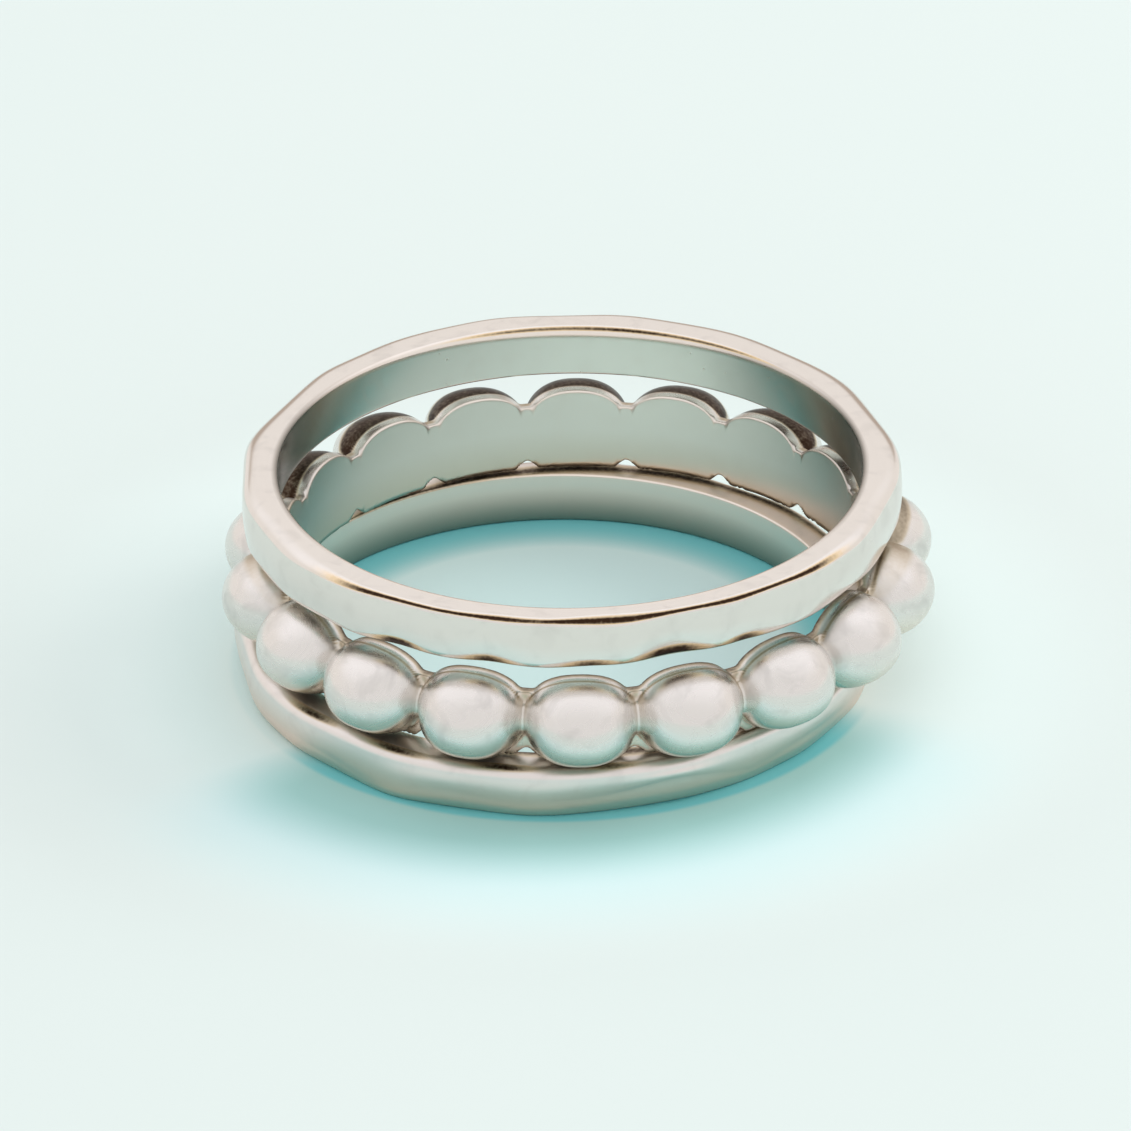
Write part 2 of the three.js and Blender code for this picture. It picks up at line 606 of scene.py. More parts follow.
def mesh_object(name: str, points: np.ndarray, layers: dict[str, np.ndarray]) -> bpy.types.Object:
    """Makes a smooth ring-shaped mesh from a grid that closes both ways.

    Args:
        name: The piece's name.
        points: Places, as turns by section points by three.
        layers: Shares from 0 to 1 at each point, by the name under which the finish reads them.

    Returns:
        The object, linked to the scene.
    """
    turns, ring = points.shape[:2]
    index = np.arange(turns * ring).reshape(turns, ring)
    after = np.roll(index, -1, 0)
    faces = np.stack([index, after, np.roll(after, -1, 1), np.roll(index, -1, 1)], -1).reshape(-1, 4)
    mesh = bpy.data.meshes.new(name)
    mesh.from_pydata(points.reshape(-1, 3).tolist(), [], faces.tolist())
    for title, shares in layers.items():
        layer = mesh.attributes.new(title, "FLOAT", "POINT")
        layer.data.foreach_set("value", shares.reshape(-1).astype(np.float32))
    mesh.polygons.foreach_set("use_smooth", [True] * len(mesh.polygons))
    mesh.update()
    piece = bpy.data.objects.new(name, mesh)
    bpy.context.scene.collection.objects.link(piece)
    return piece


def dress(piece: bpy.types.Object, finish: SilverFinish, node: Node) -> bpy.types.Object:
    """Gives a piece its material, body and slot, and hides the solid that it stands for.

    Args:
        piece: The finer mesh.
        finish: Its finish.
        node: The solid.

    Returns:
        The piece.
    """
    piece.data.materials.append(finish.material())
    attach(piece, BODY)
    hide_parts(node.value)
    return piece


@dataclass
class HammeredBand:
    """A plain band with a flat section, worn edges and a hammered outside. Lengths are in metres.

    The belly is how far the outside swells between its edges, and the blur softens the hammered
    outline, in degrees. Spans without a unit are in shares of the band's height, but under_front is
    in the sine of the azimuth. The painted edge lines, dark lines of painted reflection and shade,
    follow the section: foot, crown, the bore's crown and its foot. Points of the solid within
    column_reach, in radians, count as one column of its outline. The bore also gets painted shade on
    its sides and towards its foot, and the lower front and the bore a painted warm cast.
    """

    node: Node
    finish: SilverFinish
    foot_edge: Edge
    crown_edge: Edge
    bore_crown_edge: Edge
    bore_foot_edge: Edge
    belly: float = 0.0
    blur: float = 3.0
    bore_blend: float = 0.2 * MM
    # Painted shade on the bore's sides.
    bore_painted_shade: tuple[Mark, ...] = ()
    # Painted shade in the bore, darker towards its foot.
    foot_painted_shade: float = 0.0
    foot_painted_shade_span: Span = (0.7, 0.0)
    # A painted warm cast low on the front and in the bore.
    under_share: float = 0.0
    under_span: Span = (0.8, 0.2)
    under_front: Span = (0.5, -0.75)
    above: Optional[Node] = None
    # Painted shade on the top face along the inner edge of the band above.
    seat_shade: float = 0.8
    seat_reach: float = 0.24 * MM
    seat_depth: float = 0.08 * MM
    # Dark lines of painted reflection and shade along the worn edges.
    painted_edge_lines: tuple[PaintedLine, ...] = (PaintedLine(), PaintedLine(), PaintedLine(), PaintedLine())
    column_digits: int = 3
    column_reach: float = 0.002
    turns: int = 960
    arc_points: int = 11
    wall_points: int = 12

    def build(self) -> bpy.types.Object:
        """Makes the band's mesh and dresses it.

        Returns:
            The piece.
        """
        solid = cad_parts[self.node.value]
        low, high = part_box(self.node.value)
        bore = Bore.of(solid)
        azimuth = np.arange(self.turns) * 2 * math.pi / self.turns
        middle = (low.z + high.z) / 2
        crown = self._outline(solid, bore, azimuth, lambda height: height > middle)
        foot = self._outline(solid, bore, azimuth, lambda height: height < middle)
        section = self._section(azimuth, bore.radius, (foot, crown), (low.z, high.z))
        radius, height = section[..., 0], section[..., 1]
        level = (height - low.z) / (high.z - low.z)
        inside = rise(radius - bore.radius, (self.bore_blend, 0.0))
        # Painted shade on the bore's sides and towards its foot.
        painted_shade = depth_of(self.bore_painted_shade, np.degrees(azimuth))[:, None] * inside
        painted_shade += self.foot_painted_shade * rise(level, self.foot_painted_shade_span) * inside
        points = bore.points(azimuth, radius, height)
        # A painted warm cast, low on the side facing the front and in the bore.
        facing = np.maximum(rise(np.sin(azimuth), self.under_front)[:, None], inside)
        under = self.under_share * facing * rise(level, self.under_span)
        # Dark lines of painted reflection and shade along the edges, and painted shade in the seat below
        # the band above.
        shade_lines_and_tarnish = self._painted_edge_lines(np.degrees(azimuth))
        if self.above:
            shade_lines_and_tarnish = np.maximum(shade_lines_and_tarnish, self._seat_shade(points, high.z))
        layers = {"inside": inside, "painted_shade": painted_shade, "shade_lines_and_tarnish": shade_lines_and_tarnish, "under": under}
        piece = mesh_object(self.node.value + "_dressed", points, layers)
        return dress(piece, self.finish, self.node)

    def _seat_shade(self, points: np.ndarray, top: float) -> np.ndarray:
        """Tells where shade is painted on the top face, along the inner edge of the band above.

        Args:
            points: The band's points.
            top: The height of its top face.

        Returns:
            The share at each point.
        """
        bore = Bore.of(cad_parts[self.above.value])
        away = np.hypot(points[..., 0] - bore.x, points[..., 1] - bore.y) - bore.radius
        flat = rise(top - points[..., 2], (self.seat_depth, 0.0))
        return self.seat_shade * flat * np.exp(-((away / self.seat_reach) ** 2))

    def _painted_edge_lines(self, degrees: np.ndarray) -> np.ndarray:
        """Tells how dark the painted lines of reflection and shade along the section's worn edges are.

        Args:
            degrees: Azimuths in degrees.

        Returns:
            The share at each point of each section.
        """
        parts = np.linspace(0, 1, self.arc_points)
        columns = []
        for painted_line in self.painted_edge_lines:
            columns.append(painted_line.shares(degrees, parts))
            columns.append(np.zeros((len(degrees), self.wall_points)))
        return np.concatenate(columns, 1)

    def _outline(
        self,
        solid: bpy.types.Object,
        bore: Bore,
        azimuth: np.ndarray,
        wanted: Callable[[np.ndarray], np.ndarray],
    ) -> np.ndarray:
        """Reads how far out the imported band's outside lies round its axis.

        Args:
            solid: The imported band.
            bore: Its bore.
            azimuth: Where the outline is wanted, in radians.
            wanted: Tells which heights count.

        Returns:
            The radius at each azimuth, with the flats' corners softened.
        """
        points = np.array([v.co for v in solid.data.vertices])
        points = points[wanted(points[:, 2])][:, :2] - (bore.x, bore.y)
        away = np.hypot(*points.T)
        turn = np.arctan2(points[:, 1], points[:, 0])
        columns = np.unique(np.round(turn, self.column_digits))
        outer = np.array([away[np.abs(turn - column) < self.column_reach].max() for column in columns])
        outline = np.interp(azimuth, columns, outer, period=2 * math.pi)
        return smoothed(outline, self.blur)

    def _section(
        self,
        azimuth: np.ndarray,
        inner: float,
        outer: tuple[np.ndarray, np.ndarray],
        ends: tuple[float, float],
    ) -> np.ndarray:
        """Draws the band's section at each azimuth, from the outside's foot round to the bore's.

        Args:
            azimuth: Azimuths in radians.
            inner: The bore's radius.
            outer: The outside's radius at its foot and at its crown.
            ends: The lowest and the highest height.

        Returns:
            Radius and height of each point of each section.
        """
        degrees = np.degrees(azimuth)
        corners = [
            (self.foot_edge, outer[0], ends[0], 1, 1),
            (self.crown_edge, outer[1], ends[1], 1, -1),
            (self.bore_crown_edge, inner, ends[1], -1, -1),
            (self.bore_foot_edge, inner, ends[0], -1, 1),
        ]
        arcs = []
        for number, (edge, radius, height, out, up) in enumerate(corners):
            start = (number - 1) * math.pi / 2
            arcs.append(self._arc(edge, degrees, (radius, height), (out, up), start))
        rows = []
        for number, arc in enumerate(arcs):
            rows.extend(arc)
            begin, end = arc[-1], arcs[(number + 1) % len(arcs)][0]
            for part in np.linspace(0, 1, self.wall_points + 2)[1:-1]:
                point = begin * (1 - part) + end * part
                # Only the outside swells.
                if number == 0:
                    point[:, 0] += self.belly * math.sin(math.pi * part)
                rows.append(point)
        return np.stack(rows, 1)

    def _arc(
        self,
        edge: Edge,
        degrees: np.ndarray,
        corner: tuple[Any, float],
        signs: tuple[int, int],
        start: float,
    ) -> list[np.ndarray]:
        """Draws one worn edge of the section.

        Args:
            edge: The edge.
            degrees: Azimuths in degrees.
            corner: The sharp corner's radius and height.
            signs: Whether the wall lies inside (1) or outside (-1) the corner, and above or below it.
            start: The angle at which the arc starts.

        Returns:
            Radius and height at each azimuth, for each point of the arc.
        """
        across, along = edge.sizes(degrees)
        centre = np.stack([corner[0] - signs[0] * across, corner[1] + signs[1] * along], -1)
        size = np.stack([across, along], -1)
        parts = np.linspace(0, 1, self.arc_points)
        turns = start + parts * math.pi / 2
        arc = [centre + size * (math.cos(turn), math.sin(turn)) for turn in turns]
        chord = [arc[0] * (1 - part) + arc[-1] * part for part in parts]
        flat = edge.flatness(degrees)
        return [flat * straight + (1 - flat) * bent for straight, bent in zip(chord, arc)]


@dataclass(frozen=True)
class BeadTarnishAndShade:
    """Where painted shade and dark reflections sit on the beaded band, and how strongly: shade in the
    valleys, necks and at the beads' feet, dark lines at the sleeve's rim, partly real tarnishing, and
    at a seam in front, and dark crescents on the crests behind. Lengths are in metres.

    Each weight stands before the spans in which its mark fades in. The spans of valley and neck are
    shares of the way from a bead's middle to the valley. Level, foot and under spans are in half
    heights of a bead above the middle, depths are taken down from the sleeve's rim, and reaches
    outwards from the bore. The back span is in the sine of the azimuth.
    """

    valley: float = 0.4
    valley_span: Span = (0.78, 0.94)
    valley_level: Span = (0.2, 0.7)
    valley_reach: Span = (1.2 * MM, 0.0)
    wall_span: Span = (0.1 * MM, 0.2 * MM)
    neck: float = 0.12
    neck_span: Span = (0.9, 0.98)
    rim: float = 0.75
    rim_depth: Span = (0.13 * MM, 0.03 * MM)
    rim_reach: Span = (0.26 * MM, 0.06 * MM)
    seam: float = 0.5
    seam_depth: Span = (0.18 * MM, 0.06 * MM)
    seam_place: float = 0.45 * MM
    seam_width: Span = (0.07 * MM, 0.02 * MM)
    crest: float = 0.85
    crest_reach: Span = (0.3 * MM, 0.4 * MM)
    crest_depth: Span = (0.3 * MM, 0.18 * MM)
    back_span: Span = (-5.0 / 12.0, 5.0 / 12.0)
    foot: float = 0.45
    foot_span: Span = (-0.56, -0.96)
    under_span: Span = (0.0, -0.9)
    bore_blend: float = 0.1 * MM


@dataclass
class BeadedBand:
    """A cast band: a thin scalloped sleeve with oval beads fused to it. Lengths are in metres.

    The sleeve's rim dips between the beads and its foot arches up there. Beads differ by chance, by
    the unevenness. The outline is looked for along rays from the middle of the wall, as far out as
    look_share half heights, with equal probes first and then by halving. Its points lie closer
    together near the crown, and the crown zone is where that sets in, measured from the top.
    """

    finish: SilverFinish
    count: int = 18
    sleeve_wall: float = 0.36 * MM
    valley_drop: float = 0.5 * MM
    valley_rise: float = 0.28 * MM
    valley_round: float = 0.12 * MM
    foot_arch_start: float = 0.72
    bead_sink: float = 0.02 * MM
    bead_gap: float = -0.03 * MM
    squareness: float = 2.3
    root: float = 0.36 * MM
    neck: float = 0.2 * MM
    fillet: float = 0.06 * MM
    edge: float = 0.06 * MM
    crown_detail: float = 2.5
    crown_zone: Span = (-0.6 * MM, -0.4 * MM)
    unevenness: float = 0.035 * MM
    # Painted shade and dark reflections on and between the beads, partly real tarnishing.
    tarnish_and_shade: BeadTarnishAndShade = BeadTarnishAndShade()
    # Painted shade on the bore's sides.
    bore_painted_shade: tuple[Mark, ...] = ()
    seed: int = 7
    columns: int = 56
    ring_points: int = 96
    rays: int = 540
    look_share: float = 3.0
    probes: int = 24
    halvings: int = 12

    def build(self) -> bpy.types.Object:
        """Makes the band's mesh and dresses it.

        Returns:
            The piece.
        """
        low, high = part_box(Node.BEADED.value)
        bore = Bore.of(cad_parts[Node.BEADED.value])
        self._place(bore, low, high)
        turns = self.count * self.columns
        azimuth = (np.arange(turns) + 0.5) * 2 * math.pi / turns
        section = self._sections(azimuth)
        radius, height = section[..., 0], section[..., 1]
        points = bore.points(azimuth, radius, height)
        level = (height - self.bead_middle) / self.half_height
        inside = rise(radius - bore.radius, (self.tarnish_and_shade.bore_blend, 0.0))
        # Painted shade on the bore's sides and at the beads' feet.
        bore_shade = depth_of(self.bore_painted_shade, np.degrees(azimuth))[:, None] * inside
        foot_painted_shade = self.tarnish_and_shade.foot * rise(level, self.tarnish_and_shade.foot_span) * (1 - inside)
        layers = {
            # Painted shade and dark reflections, partly real tarnishing.
            "shade_lines_and_tarnish": self._shade_lines_and_tarnish(azimuth, radius, height),
            "inside": inside,
            # A painted darker, warmer cast on the beads' lower halves.
            "under": rise(level, self.tarnish_and_shade.under_span),
            "painted_shade": np.maximum(bore_shade, foot_painted_shade),
        }
        piece = mesh_object(Node.BEADED.value + "_dressed", points, layers)
        return dress(piece, self.finish, Node.BEADED)

    def _place(self, bore: Bore, low: Vector, high: Vector) -> None:
        """Works out the beads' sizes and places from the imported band.

        Args:
            bore: The band's bore.
            low: Its lowest corner.
            high: Its highest corner.
        """
        self.bore = bore.radius
        self.base, self.top = low.z, high.z
        self.middle = (low.z + high.z) / 2
        self.centre = self.bore + self.root
        self.reach = (high.y - low.y) / 2 - self.centre
        self.half_length = math.pi * self.centre / self.count - self.bead_gap
        self.half_height = (high.z - low.z - self.bead_sink) / 2
        self.bead_middle = low.z + self.bead_sink + self.half_height
        self.look_out = self.look_share * self.half_height
        luck = np.random.default_rng(self.seed)
        self.luck = luck.uniform(-1, 1, (self.count, 3)) * self.unevenness

    def _nearest(self, azimuth: np.ndarray) -> tuple[np.ndarray, np.ndarray]:
        """Finds the bead nearest each azimuth, with one bead straight in front.

        Args:
            azimuth: Azimuths in radians.

        Returns:
            The bead's number, and the azimuth from the bead's middle in radians.
        """
        pitch = 2 * math.pi / self.count
        turn = azimuth + math.pi / 2
        number = np.round(turn / pitch)
        return number.astype(int) % self.count, turn - number * pitch

    def _bead(
        self, number: np.ndarray, turn: np.ndarray, radius: np.ndarray, height: np.ndarray
    ) -> np.ndarray:
        """Measures how far places lie outside a bead, an oval a little squarer than an ellipse.

        Args:
            number: Which bead.
            turn: The azimuth from its middle, in radians.
            radius: The places' radii.
            height: Their heights.

        Returns:
            Roughly the distance, below 0 inside the bead.
        """
        luck = self.luck[number]
        out = (radius * np.cos(turn) - self.centre) / (self.reach + luck[..., 0])
        along = (radius * np.sin(turn) - luck[..., 2]) / (self.half_length + luck[..., 1])
        up = (height - self.bead_middle) / self.half_height
        oval = np.abs(along) ** self.squareness + np.abs(up) ** self.squareness
        return (np.sqrt(oval ** (2 / self.squareness) + out**2) - 1) * self.half_height

    def _sleeve(self, turn: np.ndarray, radius: np.ndarray, height: np.ndarray) -> np.ndarray:
        """Measures how far places lie outside the sleeve, which arches behind each bead.

        Args:
            turn: The azimuth from the nearest bead's middle, in radians.
            radius: The places' radii.
            height: Their heights.

        Returns:
            The distance, below 0 inside the sleeve.
        """
        share = np.clip(np.abs(turn) * self.count / math.pi, 0, 1)
        arch = 0.5 - 0.5 * np.cos(math.pi * rise(share, (self.foot_arch_start, 1.0)))
        top = self.top - self._dip(share)
        base = self.base + self.bead_sink + self.valley_rise * arch
        across = np.abs(radius - self.bore) - self.sleeve_wall + self.edge
        along = np.abs(height - (top + base) / 2) - (top - base) / 2 + self.edge
        outside = np.hypot(np.maximum(across, 0), np.maximum(along, 0))
        return outside + np.minimum(np.maximum(across, along), 0) - self.edge

    def _dip(self, share: np.ndarray) -> np.ndarray:
        """Tells how far the sleeve's upper rim lies below the beads' tops, as it follows their arcs.

        Args:
            share: The share of the way from a bead's middle to the valley.

        Returns:
            The depth, which levels out in the valley.
        """
        along = np.clip(share * math.pi * self.centre / self.count / self.half_length, 0, 1)
        arc = self.half_height * (1 - (1 - along**self.squareness) ** (1 / self.squareness))
        return self._join(arc, self.valley_drop + 0 * arc, self.valley_round)

    @staticmethod
    def _join(first: np.ndarray, second: np.ndarray, fillet: float) -> np.ndarray:
        """Joins two bodies with a fillet between them.

        Args:
            first: Distances from the first body.
            second: Distances from the second body.
            fillet: The fillet's size.

        Returns:
            Distances from the joined body.
        """
        near = np.maximum(fillet - np.abs(first - second), 0) / fillet
        return np.minimum(first, second) - near * near * fillet / 4

    def _body(self, azimuth: np.ndarray, radius: np.ndarray, height: np.ndarray) -> np.ndarray:
        """Measures how far places lie outside the whole band.

        Args:
            azimuth: Their azimuths in radians.
            radius: Their radii.
            height: Their heights.

        Returns:
            The distance, below 0 in the metal.
        """
        pitch = 2 * math.pi / self.count
        number, turn = self._nearest(azimuth)
        side = np.where(turn >= 0, 1, -1)
        bead = self._bead(number, turn, radius, height)
        beside = self._bead((number + side) % self.count, turn - side * pitch, radius, height)
        beads = self._join(bead, beside, self.neck)
        metal = self._join(beads, self._sleeve(turn, radius, height), self.fillet)
        return -self._join(-metal, radius - self.bore, self.edge)

    def _sections(self, azimuth: np.ndarray) -> np.ndarray:
        """Finds the band's outline at each azimuth by looking outwards from the middle of its wall.

        Args:
            azimuth: Azimuths in radians.

        Returns:
            Radius and height of evenly spaced points round each outline.
        """
        turn = np.linspace(0, 2 * math.pi, self.rays, endpoint=False)
        start = self.bore + self.sleeve_wall / 2
        around = azimuth[:, None] + 0 * turn

        def free(reach: np.ndarray) -> np.ndarray:
            """Tells where a reach along the rays lies outside the metal."""
            radius, height = start + reach * np.cos(turn), self.middle + reach * np.sin(turn)
            return self._body(around, radius, height) > 0

        pace = self.look_out / self.probes
        outside = np.full_like(around, self.look_out)
        for number in range(self.probes, 0, -1):
            reach = np.full_like(around, number * pace)
            outside = np.where(free(reach), reach, outside)
        inside = outside - pace
        for _ in range(self.halvings):
            reach = (inside + outside) / 2
            clear = free(reach)
            outside = np.where(clear, reach, outside)
            inside = np.where(clear, inside, reach)
        outline = np.stack([start + outside * np.cos(turn), self.middle + outside * np.sin(turn)], -1)
        return self._even(outline)

    def _even(self, outline: np.ndarray) -> np.ndarray:
        """Spaces the points of each outline along it, more closely near its crown.

        Args:
            outline: Radius and height of each point of each outline.

        Returns:
            The same outlines with ring_points points each.
        """
        closed = np.concatenate([outline, outline[:, :1]], 1)
        lengths = np.hypot(*np.moveaxis(np.diff(closed, axis=1), -1, 0))
        lengths *= 1 + self.crown_detail * rise(outline[..., 1] - self.top, self.crown_zone)
        along = np.concatenate([np.zeros((len(outline), 1)), np.cumsum(lengths, 1)], 1)
        made = np.empty((len(outline), self.ring_points, 2))
        for row, places in enumerate(along):
            wanted = np.linspace(0, places[-1], self.ring_points, endpoint=False)
            made[row, :, 0] = np.interp(wanted, places, closed[row, :, 0])
            made[row, :, 1] = np.interp(wanted, places, closed[row, :, 1])
        return made

    def _shade_lines_and_tarnish(self, azimuth: np.ndarray, radius: np.ndarray, height: np.ndarray) -> np.ndarray:
        """Tells where shade and dark reflections are painted, partly real tarnishing: in the valleys and
        necks, at the rim and a seam in front, and on the crowns under the upper band.

        Args:
            azimuth: Azimuths in radians.
            radius: The points' radii.
            height: Their heights.

        Returns:
            The share from 0 to 1 at each point.
        """
        tarnish_and_shade = self.tarnish_and_shade
        _, turn = self._nearest(azimuth[:, None] + 0 * radius)
        share = np.clip(np.abs(turn) * self.count / math.pi, 0, 1)
        depth = self.top - self._dip(share) - height
        wide = radius - self.bore
        level = (height - self.middle) / self.half_height
        behind = rise(np.sin(azimuth), tarnish_and_shade.back_span)[:, None]
        outside = rise(wide, tarnish_and_shade.wall_span)
        valley = rise(share, tarnish_and_shade.valley_span) * rise(level, tarnish_and_shade.valley_level)
        valley *= rise(wide, tarnish_and_shade.valley_reach)
        neck = rise(share, tarnish_and_shade.neck_span)
        rim = rise(depth, tarnish_and_shade.rim_depth) * rise(wide, tarnish_and_shade.rim_reach)
        seam = rise(depth, tarnish_and_shade.seam_depth) * rise(np.abs(wide - tarnish_and_shade.seam_place), tarnish_and_shade.seam_width)
        crest = rise(wide, tarnish_and_shade.crest_reach) * rise(depth, tarnish_and_shade.crest_depth)
        # Painted shade in valleys and necks; painted dark reflections at the rim and seam in front and on
        # the crests behind.
        low = (tarnish_and_shade.valley * valley + tarnish_and_shade.neck * neck) * outside
        front = (1 - behind) * np.minimum(tarnish_and_shade.rim * rim + tarnish_and_shade.seam * seam, tarnish_and_shade.rim)
        return np.clip(low + front + tarnish_and_shade.crest * behind * crest, 0, 1)


@dataclass
class Camera:
    """The photograph's camera, in millimetres and degrees; clip_start is in metres.

    It stands at a distance from the point where the axis meets the floor, and looks at the target.
    """

    target: tuple[float, float, float] = (-0.38, 0.841, 2.574)
    axis: tuple[float, float] = (-0.22, 0.841)
    distance: float = 300.0
    elevation: float = 29.43
    roll: float = -0.666
    pixels_per_millimetre: float = 33.264
    sensor: float = 36.0
    clip_start: float = 0.01

    def build(self) -> bpy.types.Object:
        """Makes the camera and sets it as the scene's.

        Returns:
            The camera.
        """
        data = bpy.data.cameras.new("photo_camera")
        data.sensor_width = self.sensor
        data.lens = self.pixels_per_millimetre * self.distance * self.sensor / IMAGE_PIXELS
        data.clip_start = self.clip_start
        camera = bpy.data.objects.new("photo_camera", data)
        tilt = math.radians(self.elevation)
        stand = Vector((*self.axis, 0)) + self.distance * Vector((0, -math.cos(tilt), math.sin(tilt)))
        look = Vector(self.target) - stand
        turn = look.to_track_quat("-Z", "Y") @ Quaternion((0, 0, 1), math.radians(self.roll))
        camera.location = stand * MM
        camera.rotation_mode = "QUATERNION"
        camera.rotation_quaternion = turn
        bpy.context.scene.collection.objects.link(camera)
        bpy.context.scene.camera = camera
        return camera


@dataclass
class Studio:
    """A pale floor in a white tent that is brighter behind and has a dimmer gap low down there.

    Floor distances are in millimetres. Its colour holds painted shadow: outside the lower band a
    painted shade lies round the direction shade_turn, with a painted blue halo past it and a fainter
    painted shade on the left; inside, the painted shade is deepest at the wall, as is the painted
    contact shadow. Near the band the floor is painted paler, painted light that lifts its shadow. The
    spans of facing and left are cosines, the wall's are shares of its thickness, and the tent's are
    parts of the way looked, from -1 to 1, the gap's sideways one squared.
    """

    floor_colour: Colour = (0.7, 0.79, 0.768)
    # Painted light: a paler floor near the band.
    near_colour: Colour = (0.81, 0.96, 0.94)
    # Painted shadow colours: the shade, its blue halo and the contact shadow.
    shade_colour: Colour = (0.39, 0.69, 0.665)
    halo_colour: Colour = (0.5, 0.9, 0.96)
    contact_colour: Colour = (0.18, 0.62, 0.66)
    floor_half: float = 0.6
    floor_roughness: float = 0.7
    floor_shine: float = 0.2
    patches: float = 0.1
    patches_to_a_metre: float = 30.0
    shade_reach: float = 3.3
    near_reach: float = 9.0
    halo_reach: float = 7.0
    halo_share: float = 0.5
    shade_shift: tuple[float, float] = (-0.5, -0.8)
    shade_turn: float = 276.0
    facing_span: Span = (0.4, 0.66)
    left_span: Span = (-0.2, 0.5)
    least_shade: float = 0.12
    inner_reach: float = 2.2
    inner_shade: float = 0.15
    contact_reach: float = 0.25
    wall_span: Span = (0.4, 0.6)
    front_light: Colour = (0.92, 0.9, 0.9)
    low_back_light: Colour = (0.98, 0.93, 0.9)
    high_back_light: Colour = (1.17, 1.14, 1.17)
    gap_light: Colour = (0.55, 0.46, 0.4)
    back_span: Span = (-0.7, 0.5)
    high_span: Span = (0.4, 0.75)
    gap_low_span: Span = (-0.11, 0.01)
    gap_high_span: Span = (0.32, 0.44)
    gap_side_span: Span = (0.08, 0.16)
    gap_back_span: Span = (0.0, 0.2)
    key_place: tuple[float, float, float] = (0.4, 0.14, 0.27)
    key_size: float = 0.3
    key_power: float = 1.0
    key_colour: Colour = (1.0, 0.96, 0.93)

    def build(self) -> None:
        """Makes the floor, the tent's light and the key light."""
        self._floor()
        self._tent()
        self._key()
        bpy.context.scene.view_settings.view_transform = "Standard"

    def _floor(self) -> None:
        """Lays the floor."""
        half = self.floor_half
        corners = [(-half, -half, 0), (half, -half, 0), (half, half, 0), (-half, half, 0)]
        mesh = bpy.data.meshes.new("studio_floor")
        mesh.from_pydata(corners, [], [(0, 1, 2, 3)])
        mesh.materials.append(self._card())
        floor = bpy.data.objects.new("studio_floor", mesh)
        bpy.context.scene.collection.objects.link(floor)

    def _card(self) -> bpy.types.Material:
        """Builds the floor's material, with the bands' shadow, its blue halo and a paler zone near them
        painted into its colour.

        Returns:
            The material.
        """
        material = bpy.data.materials.new("studio_floor")
        material.use_nodes = True
        sheet = Sheet(material.node_tree)
        bore = Bore.of(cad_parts[Node.LOWER.value])
        low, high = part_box(Node.LOWER.value)
        wall = ((high.x - low.x) / 2 - bore.radius) / MM
        place = sheet.node("ShaderNodeTexCoord").outputs["Object"]
        beyond = self._beyond(sheet, place, bore, (0.0, 0.0))
        shifted = self._beyond(sheet, place, bore, self.shade_shift)
        outwards = sheet.vector("SUBTRACT", place, (bore.x, bore.y, 0.0))
        way = sheet.vector("NORMALIZE", outwards, (0.0, 0.0, 0.0))
        turn = math.radians(self.shade_turn)
        towards = sheet.measure("DOT_PRODUCT", way, (math.cos(turn), math.sin(turn), 0.0))
        facing = sheet.step(towards, *self.facing_span)
        left = sheet.step(sheet.measure("DOT_PRODUCT", way, (-1.0, 0.0, 0.0)), *self.left_span)
        outside = sheet.step(beyond, *(part * wall for part in self.wall_span))
        # Painted shadow round the band, inside and out.
        inner = sheet.math("MAXIMUM", sheet.step(beyond, -self.inner_reach, 0.0), self.inner_shade)
        outer = 1.0 - sheet.step(shifted, wall, wall + self.shade_reach)
        outer = outer * sheet.math("MAXIMUM", facing, self.least_shade * left)
        shade = inner + (outer - inner) * outside
        # A painted contact shadow at the wall.
        contact = 1.0 - sheet.step(beyond, wall, wall + self.contact_reach)
        # A painted blue halo past the shadow.
        halo = 1.0 - sheet.step(shifted, wall, wall + self.halo_reach)
        halo = self.halo_share * facing * halo * outside
        # Painted light: the floor is paler near the band, lifting its shadow.
        near = 1.0 - sheet.step(beyond, wall, wall + self.near_reach)
        patches = self.patches * sheet.noise(place, self.patches_to_a_metre, detail=2.0)
        pale = sheet.blend(near, self.floor_colour, self.near_colour)
        pale = sheet.blend(halo, pale, self.halo_colour)
        colour = sheet.blend(shade + patches, pale, self.shade_colour)
        colour = sheet.blend(contact * shade, colour, self.contact_colour)
        inputs = {"Base Color": colour, "Roughness": self.floor_roughness}
        inputs["Specular IOR Level"] = self.floor_shine
        shader = sheet.node("ShaderNodeBsdfPrincipled", {}, inputs)
        sheet.node("ShaderNodeOutputMaterial", {}, {"Surface": shader.outputs[0]})
        return material

    @staticmethod
    def _beyond(sheet: Sheet, place: bpy.types.NodeSocket, bore: Bore, shift: tuple[float, float]) -> Value:
        """Measures how far a place on the floor lies outside a bore.

        Args:
            sheet: The floor's sheet.
            place: The place in metres.
            bore: The bore.
            shift: How far the bore's centre is taken sideways and back, in millimetres.

        Returns:
            The distance in millimetres, below 0 inside.
        """
        flat = sheet.vector("SUBTRACT", place, (bore.x + shift[0] * MM, bore.y + shift[1] * MM, 0.0))
        return sheet.measure("LENGTH", flat) * (1 / MM) - bore.radius / MM

